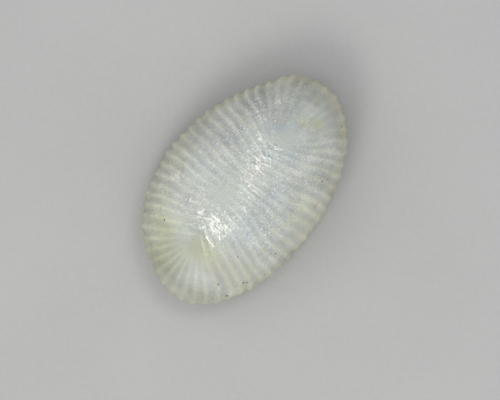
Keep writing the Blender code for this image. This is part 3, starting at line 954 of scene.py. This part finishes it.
def noise_node(tree, position, scale, detail=2.0, roughness=0.5, distortion=0.0):
    inputs = {"Vector": position, "Scale": scale, "Detail": detail}
    inputs.update({"Roughness": roughness, "Distortion": distortion})
    return add(tree, "ShaderNodeTexNoise", inputs).outputs


def start_group(name, inputs, outputs):
    """An empty node group with named sockets: inputs with their first values, and plain outputs."""
    tree = bpy.data.node_groups.new(name, "ShaderNodeTree")
    for socket_name, value in inputs.items():
        kind = "NodeSocketVector" if isinstance(value, tuple) else "NodeSocketFloat"
        socket = tree.interface.new_socket(name=socket_name, in_out="INPUT", socket_type=kind)
        socket.default_value = value
    for socket_name in outputs:
        tree.interface.new_socket(name=socket_name, in_out="OUTPUT", socket_type="NodeSocketFloat")
    return tree, tree.nodes.new("NodeGroupInput").outputs, tree.nodes.new("NodeGroupOutput").inputs


def soft_patch_group():
    """Mask of a soft oval patch round a centre; the shift makes it ragged."""
    inputs = {"Position": ORIGIN, "Centre": ORIGIN, "Reach": (1.0, 1.0, 1.0), "Shift": 0.0, "Edge": 1.0}
    tree, given, result = start_group("soft_patch", inputs, ["Mask"])
    offset = vector_node(tree, "SUBTRACT", given["Position"], given["Centre"])
    scaled = vector_node(tree, "DIVIDE", offset, given["Reach"])
    distance = math_node(tree, "ADD", vector_node(tree, "LENGTH", scaled), given["Shift"])
    inner = minus(tree, 1.0, given["Edge"])
    tree.links.new(remap(tree, distance, inner, 1.0, 1.0, 0.0), result["Mask"])
    return tree


def scratch_group():
    """Mask of one short straight scratch between two points, narrower at its ends."""
    inputs = {"Position": ORIGIN, "Start": ORIGIN, "Run": (0.1, 0.0, 0.0), "Half Width": 0.01}
    tree, given, result = start_group("fine_scratch", inputs, ["Mask"])
    run = given["Run"]
    from_start = vector_node(tree, "SUBTRACT", given["Position"], given["Start"])
    covered = vector_node(tree, "DOT_PRODUCT", from_start, run)
    share = math_node(tree, "DIVIDE", covered, vector_node(tree, "DOT_PRODUCT", run, run), clamp=True)
    apart = vector_node(tree, "SUBTRACT", from_start, vector_node(tree, "SCALE", run, share))
    apart = vector_node(tree, "LENGTH", vector_node(tree, "MULTIPLY", apart, SCRATCH_FLATTENING))
    gap = math_node(tree, "DIVIDE", apart, given["Half Width"])
    tree.links.new(remap(tree, gap, *SCRATCH_EDGE, 1.0, 0.0), result["Mask"])
    return tree


def mottling_group():
    """Clouds and fine grain: values round 0.5 that vary over the surface."""
    inputs = {"Position": ORIGIN, "Cloud Scale": 1.5, "Grain Scale": 25.0}
    names = ["Clouds", "Tint", "Grain", "Grain Tint"]
    tree, given, result = start_group("fine_mottling", inputs, names)
    clouds = noise_node(tree, given["Position"], given["Cloud Scale"], 4.0, 0.55)
    grain = noise_node(tree, given["Position"], given["Grain Scale"], 2.0, 0.6)
    for plain, tinted, outputs in (("Clouds", "Tint", clouds), ("Grain", "Grain Tint", grain)):
        parts = add(tree, "ShaderNodeSeparateColor", {0: outputs["Color"]})
        tree.links.new(outputs["Fac"], result[plain])
        tree.links.new(parts.outputs[1], result[tinted])
    return tree


def use_group(tree, group, inputs):
    return add(tree, "ShaderNodeGroup", inputs, node_tree=group).outputs


def arrange(tree):
    """Lay the nodes out in columns, each to the left of the nodes that it feeds."""
    depth = {node: 0 for node in tree.nodes}
    for _ in tree.nodes:
        moved = False
        for link in tree.links:
            wanted = depth[link.to_node] + 1
            if depth[link.from_node] < wanted:
                depth[link.from_node] = wanted
                moved = True
        if not moved:
            break
    filled = {}
    for node in tree.nodes:
        column = depth[node]
        row = filled.get(column, 0)
        node.location = (-220.0 * column, -180.0 * row)
        filled[column] = row + 1


def start_material(name, colour):
    """A material with only its shader, and the position in millimetres."""
    material = bpy.data.materials.new(name)
    material.use_nodes = True
    material.diffuse_color = (*colour, 1.0)
    tree = material.node_tree
    place = add(tree, "ShaderNodeTexCoord").outputs["Object"]
    position = vector_node(tree, "SCALE", place, 1.0 / MM)
    return material, tree, tree.nodes["Principled BSDF"], position


def give_relief(tree, shader, relief):
    """Bump from a height in millimetres."""
    bump = add(tree, "ShaderNodeBump", {"Strength": 1.0, "Distance": MM, "Height": relief})
    tree.links.new(bump.outputs["Normal"], shader.inputs["Normal"])


def on_dome(surface, x, y):
    """Point of the surface in millimetres, from its place seen from above."""
    above = Vector((x * MM, y * MM, 2.0 * HEIGHT))
    place, _, _, _ = surface.ray_cast(above, Vector((0.0, 0.0, -1.0)))
    if place is None:
        place, _, _, _ = surface.find_nearest(Vector((x * MM, y * MM, MARGIN_LEVEL)))
    return place / MM


def patch_mask(tree, group, position, surface, raggedness, grain, patches, edge=1.0):
    """Strongest of several patches with ragged edges, as one mask."""
    ragged = noise_node(tree, position, grain, 3.0, 0.6)["Fac"]
    shift = times(tree, minus(tree, ragged, 0.5), 2.0 * raggedness)
    masks = []
    for x, y, *reach, strength in patches:
        inputs = {"Position": position, "Centre": on_dome(surface, x, y), "Reach": reach}
        inputs.update({"Shift": shift, "Edge": edge})
        masks.append(times(tree, use_group(tree, group, inputs)["Mask"], strength))
    return strongest(tree, masks)


def speck_mask(tree, group, position, surface, specks):
    """Small round specks as one mask."""
    patches = [(x, y, radius, radius, 2.0 * radius, 1.0) for x, y, radius in specks]
    return patch_mask(tree, group, position, surface, *SPECK_EDGE, patches, 0.5)


def bent(tree, position, scale, detail, size, centre):
    """Position pushed about by a noise, so that straight marks come out crooked."""
    push = noise_node(tree, position, scale, detail)["Color"]
    push = vector_node(tree, "SUBTRACT", push, (centre, centre, centre))
    return vector_node(tree, "ADD", position, vector_node(tree, "SCALE", push, size))


def scratch_mask(tree, group, position, surface, scratches):
    """Single bright scratches, bent a little and broken, as one mask."""
    place = bent(tree, position, *SCRATCH_BEND)
    masks = []
    for start_x, start_y, end_x, end_y, strength in scratches:
        start = on_dome(surface, start_x, start_y)
        run = on_dome(surface, end_x, end_y) - start
        inputs = {"Position": place, "Start": start, "Run": run, "Half Width": SCRATCH_HALF_WIDTH}
        masks.append(times(tree, use_group(tree, group, inputs)["Mask"], strength))
    broken = noise_node(tree, position, SCRATCH_BREAK_SCALE, 1.0)["Fac"]
    return times(tree, strongest(tree, masks), remap(tree, broken, *SCRATCH_BREAKS))


def rib_coordinates(tree, position, attributes, along, across):
    """Position measured along the ribs and across them, in steps of a given number a millimetre."""
    side = add(tree, "ShaderNodeSeparateXYZ", {0: position}).outputs[0]
    inputs = {
        0: times(tree, attributes["girth"], along),
        1: times(tree, attributes["course"], across),
        2: times(tree, side, SIDE_STEP_SHARE * along),
    }
    return add(tree, "ShaderNodeCombineXYZ", inputs).outputs[0]


def beyond(tree, value, needed, softness):
    """Mask of where a value is above what is needed."""
    return remap(tree, minus(tree, value, needed), 0.0, softness)


def fleck_mask(tree, position, attributes, window):
    """Dashes along the ribs and a net of hairlines, where the window lets them show; the colour paints them
    white as glints.
    """
    dashes = rib_coordinates(tree, position, attributes, *DASH_STEPS)
    dashes = noise_node(tree, dashes, 1.0, 1.0, 0.5, 0.5)["Fac"]
    needed = remap(tree, window, 0.0, 1.0, *DASH_THRESHOLDS)
    dashes = beyond(tree, dashes, needed, DASH_SOFTNESS)

    inputs = {"Vector": bent(tree, position, *HAIRLINE_BEND), "Scale": HAIRLINE_SCALE}
    cells = add(tree, "ShaderNodeTexVoronoi", inputs, feature="DISTANCE_TO_EDGE")
    hairlines = remap(tree, cells.outputs["Distance"], *HAIRLINE_PROFILE)
    broken = noise_node(tree, position, HAIRLINE_BREAK_SCALE, 2.0, 0.6)["Fac"]
    needed = remap(tree, window, 0.5, 1.0, *HAIRLINE_THRESHOLDS)
    broken = beyond(tree, broken, needed, HAIRLINE_SOFTNESS)
    return strongest(tree, [dashes, times(tree, hairlines, broken)])


def powder_mask(tree, position, window):
    """Faint powdery dots, thicker where the window is open and gone where it is below zero."""
    dots = noise_node(tree, position, POWDER_SCALE, 2.0, 0.6)["Fac"]
    needed = minus(tree, POWDER_THRESHOLD, times(tree, window, POWDER_WINDOW_SHARE))
    return beyond(tree, dots, needed, POWDER_SOFTNESS)


def grey_value(tree, value):
    return add(tree, "ShaderNodeCombineColor", {0: value, 1: value, 2: value}).outputs[0]


def enamel_colour(tree, finish, position, attributes, masks, noises):
    """Colour of the enamel, from the large patches down to the grain and the dirt, with painted shade,
    painted light and painted glints among them.
    """
    wide = noises["wide"]
    clouds = swing(tree, wide["Clouds"], CLOUD_REACH, STRIP_TINT_SWING)
    top = remap(tree, math_node(tree, "ADD", attributes["strip"], clouds), *STRIP_TINT_RANGE)
    colour = mix_colour(tree, top, finish.enamel_colour, finish.strip_colour)
    colour = mix_colour(tree, attributes["margin"], colour, finish.margin_colour)
    # Blue-grey glassy patches, and painted shade that darkens both ends
    for name, patch in (("glassy", finish.glass_colour), ("thin", finish.end_shade_colour)):
        colour = mix_colour(tree, masks[name], colour, patch)
    colour = mix_colour(tree, masks["honey"], colour, finish.honey_colour)
    # Blush tints the enamel; the pale tint is painted light
    for name, change in PATCH_TINTS.items():
        colour = tint(tree, masks[name], colour, change)

    # Painted shade: grooves are darker than crests, and bluer as thinner enamel is; the very edge is
    # darkened as shade too
    broad = math_node(tree, "ADD", CREST_BREADTH, masks["clear"])
    groove = minus(tree, 1.0, times(tree, attributes["crest"], broad, clamp=True))
    for name, share in GROOVE_SHADE_FADES:
        groove = times(tree, groove, minus(tree, 1.0, times(tree, attributes[name], share)))
    edge = math_node(tree, "POWER", attributes["margin"], EDGE_SHADE_POWER)
    colour = tint(tree, groove, colour, finish.groove_shade_colour)
    colour = tint(tree, times(tree, groove, masks["groove_shadow"]), colour, DEEP_GROOVE_SHADE)
    colour = tint(tree, edge, colour, PAINTED_EDGE_SHADE)

    # Clouds, streaks and grain, in tint and in brightness
    for size, output, reach, cool, warm in GRAIN_TINTS:
        warmth = remap(tree, noises[size][output], 0.5 - reach, 0.5 + reach)
        colour = tint(tree, 1.0, colour, mix_colour(tree, warmth, cool, warm))
    streaks = rib_coordinates(tree, position, attributes, *STREAK_STEPS)
    streaks = noise_node(tree, streaks, 1.0, 3.0, 0.6)["Fac"]
    bright = swing(tree, wide["Clouds"], CLOUD_REACH, CLOUD_SWING)
    swings = [(streaks, STREAK_SWING), (noises["close"]["Grain"], CLOSE_GRAIN_SWING)]
    for value, size in (*swings, (wide["Grain"], WIDE_GRAIN_SWING)):
        bright = math_node(tree, "ADD", bright, swing(tree, value, GRAIN_REACH, size))
    bright = weighted_sum(tree, 1.0, [(bright, masks["lively"])])
    colour = tint(tree, 1.0, colour, grey_value(tree, bright))

    # Covers: powder, partly painted light and glints; fleck marks and scratches painted white as glints;
    # ochre, rust and dark dirt
    for name, share, cover in COVERS:
        colour = mix_colour(tree, times(tree, masks[name], share), colour, cover)
    return mix_colour(tree, attributes["hollow"], colour, finish.hollow_colour)


def enamel_relief(tree, attributes, masks, noises):
    """Fine relief in millimetres: growth lines, grain, crazing, flecks and dirt."""
    close_grain = noises["close"]["Grain"]
    lines = times(tree, attributes["girth"], TAU / FINE_LINE_SPACING)
    lines = weighted_sum(tree, lines, [(noises["close"]["Clouds"], FINE_LINE_BEND)])
    lines = times(tree, math_node(tree, "SINE", lines, 0.0), attributes["strip"])
    terms = [
        (noises["wide"]["Grain"], WIDE_GRAIN_HEIGHT),
        (close_grain, CLOSE_GRAIN_HEIGHT),
        (times(tree, close_grain, masks["crazed"]), CRAZING_HEIGHT),
        (masks["glint_flecks"], FLECK_HEIGHT),
        (masks["dirt"], DIRT_HEIGHT),
    ]
    return weighted_sum(tree, times(tree, lines, FINE_LINE_HEIGHT), terms)


def enamel_masks(tree, groups, position, surface, attributes):
    """All patches, flecks, powder and dirt of the enamel, as masks by name."""
    patch, scratch = groups
    masks = {name: patch_mask(tree, patch, position, surface, *rows) for name, rows in PATCHES.items()}
    masks["dark"] = speck_mask(tree, patch, position, surface, DARK_SPECKS)
    masks["rust"] = speck_mask(tree, patch, position, surface, RUST_SPECKS)
    masks["dirt"] = strongest(tree, [masks["rust"], masks["dark"]])
    masks["lively"] = minus(tree, 1.0, times(tree, masks["clear"], CLEAR_CALM))
    masks["powder"] = powder_mask(tree, position, minus(tree, masks["powdery"], masks["clear"]))
    glint_flecks = fleck_mask(tree, position, attributes, masks["crazed"])
    scratches = scratch_mask(tree, scratch, position, surface, GLINT_SCRATCHES)
    masks["glint_flecks"] = strongest(tree, [glint_flecks, scratches])
    rim = times(tree, masks["rim"], attributes["margin"])
    masks["ochre"] = strongest(tree, [masks["ochre"], rim])
    return masks


def enamel_material(finish, surface):
    """White enamel: thick and bright on top, thin and blue-grey in the grooves, warm at the margin, with
    painted shade in the grooves, at the edge and at both ends, painted light in pale patches and painted
    glints.
    """
    material, tree, shader, position = start_material("shell_enamel", finish.enamel_colour)
    groups = soft_patch_group(), scratch_group()
    mottling = mottling_group()
    names = ("crest", "strip", "margin", "hollow", "girth", "course")
    attributes = {
        name: add(tree, "ShaderNodeAttribute", attribute_name=name).outputs["Fac"] for name in names
    }
    noises = {}
    for name, (cloud_scale, grain_scale) in MOTTLING_SCALES.items():
        inputs = {"Position": position, "Cloud Scale": cloud_scale, "Grain Scale": grain_scale}
        noises[name] = use_group(tree, mottling, inputs)
    masks = enamel_masks(tree, groups, position, surface, attributes)
    colour = enamel_colour(tree, finish, position, attributes, masks, noises)
    tree.links.new(colour, shader.inputs["Base Color"])

    rough = swing(tree, noises["close"]["Clouds"], CLOUD_REACH, ROUGH_CLOUDS)
    rough = math_node(tree, "ADD", rough, finish.roughness)
    rough = weighted_sum(tree, rough, [(masks["glint_flecks"], ROUGH_FLECKS)])
    rough = weighted_sum(tree, rough, [(masks["dirt"], ROUGH_DIRT)], clamp=True)
    tree.links.new(rough, shader.inputs["Roughness"])
    gloss = swing(tree, noises["wide"]["Clouds"], CLOUD_REACH, GLOSS_CLOUDS)
    gloss = math_node(tree, "ADD", gloss, finish.coat)
    gloss = weighted_sum(tree, gloss, [(masks["glint_flecks"], GLOSS_FLECKS), (attributes["strip"], GLOSS_STRIP)])
    gloss = times(tree, gloss, minus(tree, 1.0, masks["dirt"]), clamp=True)
    tree.links.new(gloss, shader.inputs["Coat Weight"])
    give_relief(tree, shader, enamel_relief(tree, attributes, masks, noises))

    shader.inputs["IOR"].default_value = 1.55
    shader.inputs["Coat Roughness"].default_value = 0.09
    shader.inputs["Subsurface Weight"].default_value = 0.25
    shader.inputs["Subsurface Radius"].default_value = (1.0, 1.0, 0.8)
    shader.inputs["Subsurface Scale"].default_value = 0.12 * MM
    for part in (tree, mottling, *groups):
        arrange(part)
    return material


def floor_material(stage):
    """Plain pale floor, with only a little unevenness."""
    material, tree, shader, position = start_material("studio_floor", stage.floor_colour)
    cloud_scale, grain_scale = FLOOR_SCALES
    inputs = {"Position": position, "Cloud Scale": cloud_scale, "Grain Scale": grain_scale}
    cover = use_group(tree, bpy.data.node_groups["fine_mottling"], inputs)
    grain = cover["Grain"]
    bright = remap(tree, cover["Clouds"], 0.5 - CLOUD_REACH, 0.5 + CLOUD_REACH, *FLOOR_BRIGHTNESS)
    bright = math_node(tree, "ADD", bright, swing(tree, grain, GRAIN_REACH, FLOOR_GRAIN_SWING))
    colour = tint(tree, 1.0, stage.floor_colour, grey_value(tree, bright))
    tree.links.new(colour, shader.inputs["Base Color"])
    rough = remap(tree, grain, 0.5 - GRAIN_REACH, 0.5 + GRAIN_REACH, *FLOOR_ROUGHNESS)
    tree.links.new(rough, shader.inputs["Roughness"])
    give_relief(tree, shader, times(tree, grain, FLOOR_GRAIN_HEIGHT))
    arrange(tree)
    return material


class SHELLSTUDIO_OT_shell(bpy.types.Operator):
    """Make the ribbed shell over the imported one, with its enamel"""

    bl_idname = "mesh.ribbed_shell_add"
    bl_label = "Add Ribbed Shell"

    def execute(self, context):
        if "shell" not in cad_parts:
            raise RuntimeError("the packed part has no node named shell")
        shell = bpy.data.objects.new("shell_surface", shell_mesh(context.scene.shell_shape))
        context.scene.collection.objects.link(shell)
        surface = BVHTree.FromObject(shell, context.evaluated_depsgraph_get())
        shell.data.materials.append(enamel_material(context.scene.shell_finish, surface))
        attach(shell, "root")
        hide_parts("shell")
        return {"FINISHED"}


class SHELLSTUDIO_OT_stage(bpy.types.Operator):
    """Lay the floor, hang the lights and aim the camera straight down on the shell"""

    bl_idname = "scene.shell_stage_add"
    bl_label = "Add Studio Stage"

    def execute(self, context):
        stage = context.scene.shell_stage
        self.lay_floor(context, stage)
        for lamp in LAMPS:
            self.hang_lamp(context, stage, *lamp)
        self.light_room(context, stage)
        self.aim_camera(context, stage)
        context.scene.view_settings.view_transform = "Standard"
        return {"FINISHED"}

    def lay_floor(self, context, stage):
        mesh = bpy.data.meshes.new("floor")
        bm = bmesh.new()
        bmesh.ops.create_circle(bm, cap_ends=True, segments=FLOOR_SIDES, radius=stage.floor_radius)
        bm.to_mesh(mesh)
        bm.free()
        mesh.materials.append(floor_material(stage))
        floor = bpy.data.objects.new("floor", mesh)
        floor.location.z = SHELL_LOW.z - FLOOR_GAP
        context.scene.collection.objects.link(floor)

    def hang_lamp(self, context, stage, name, direction, distance, size, power, colour):
        """Hang a round soft light that faces the shell from a direction."""
        light = bpy.data.lights.new(name, "AREA")
        light.shape = "DISK"
        light.size = size
        light.energy = getattr(stage, power)
        light.color = colour
        lamp = bpy.data.objects.new(name, light)
        lamp.location = Vector(direction).normalized() * distance
        lamp.rotation_euler = Vector(direction).to_track_quat("Z", "Y").to_euler()
        context.scene.collection.objects.link(lamp)

    def light_room(self, context, stage):
        world = bpy.data.worlds.new("studio_room")
        world.use_nodes = True
        background = world.node_tree.nodes["Background"]
        background.inputs["Color"].default_value = (1.0, 1.0, 1.0, 1.0)
        background.inputs["Strength"].default_value = stage.room_strength
        context.scene.world = world

    def aim_camera(self, context, stage):
        data = bpy.data.cameras.new("camera")
        data.sensor_fit = "HORIZONTAL"
        data.lens = data.sensor_width * stage.camera_distance / (IMAGE_WIDTH * PIXEL_SIZE)
        data.clip_start = CLIP_START
        data.clip_end = CLIP_END
        camera = bpy.data.objects.new("camera", data)
        camera.location = (*VIEW_CENTRE, MARGIN_LEVEL + stage.camera_distance)
        camera.rotation_euler = (0.0, 0.0, VIEW_TURN)
        context.scene.collection.objects.link(camera)
        context.scene.camera = camera


class SHELLSTUDIO_PT_panel(bpy.types.Panel):
    """Shell and stage settings"""

    bl_label = "Ribbed Shell"
    bl_idname = "SHELLSTUDIO_PT_panel"
    bl_space_type = "VIEW_3D"
    bl_region_type = "UI"
    bl_category = "Shell"

    def draw(self, context):
        scene = context.scene
        for title, group, operator in (
            ("Shape", scene.shell_shape, None),
            ("Finish", scene.shell_finish, SHELLSTUDIO_OT_shell.bl_idname),
            ("Stage", scene.shell_stage, SHELLSTUDIO_OT_stage.bl_idname),
        ):
            box = self.layout.box()
            box.label(text=title)
            for name in group.__annotations__:
                box.prop(group, name)
            if operator:
                box.operator(operator)


SETTINGS = {"shell_shape": ShellShape, "shell_finish": ShellFinish, "shell_stage": StudioStage}
CLASSES = (*SETTINGS.values(), SHELLSTUDIO_OT_shell, SHELLSTUDIO_OT_stage, SHELLSTUDIO_PT_panel)


def register():
    for cls in CLASSES:
        bpy.utils.register_class(cls)
    for name, group in SETTINGS.items():
        setattr(bpy.types.Scene, name, bpy.props.PointerProperty(type=group))


def unregister():
    for name in SETTINGS:
        delattr(bpy.types.Scene, name)
    for cls in reversed(CLASSES):
        bpy.utils.unregister_class(cls)


def plain(box):
    """Corners of a box as plain lists of numbers."""
    return [[float(value) for value in corner] for corner in box]


def main():
    register()
    bpy.ops.mesh.ribbed_shell_add()
    bpy.ops.scene.shell_stage_add()


if __name__ == "__main__":
    main()
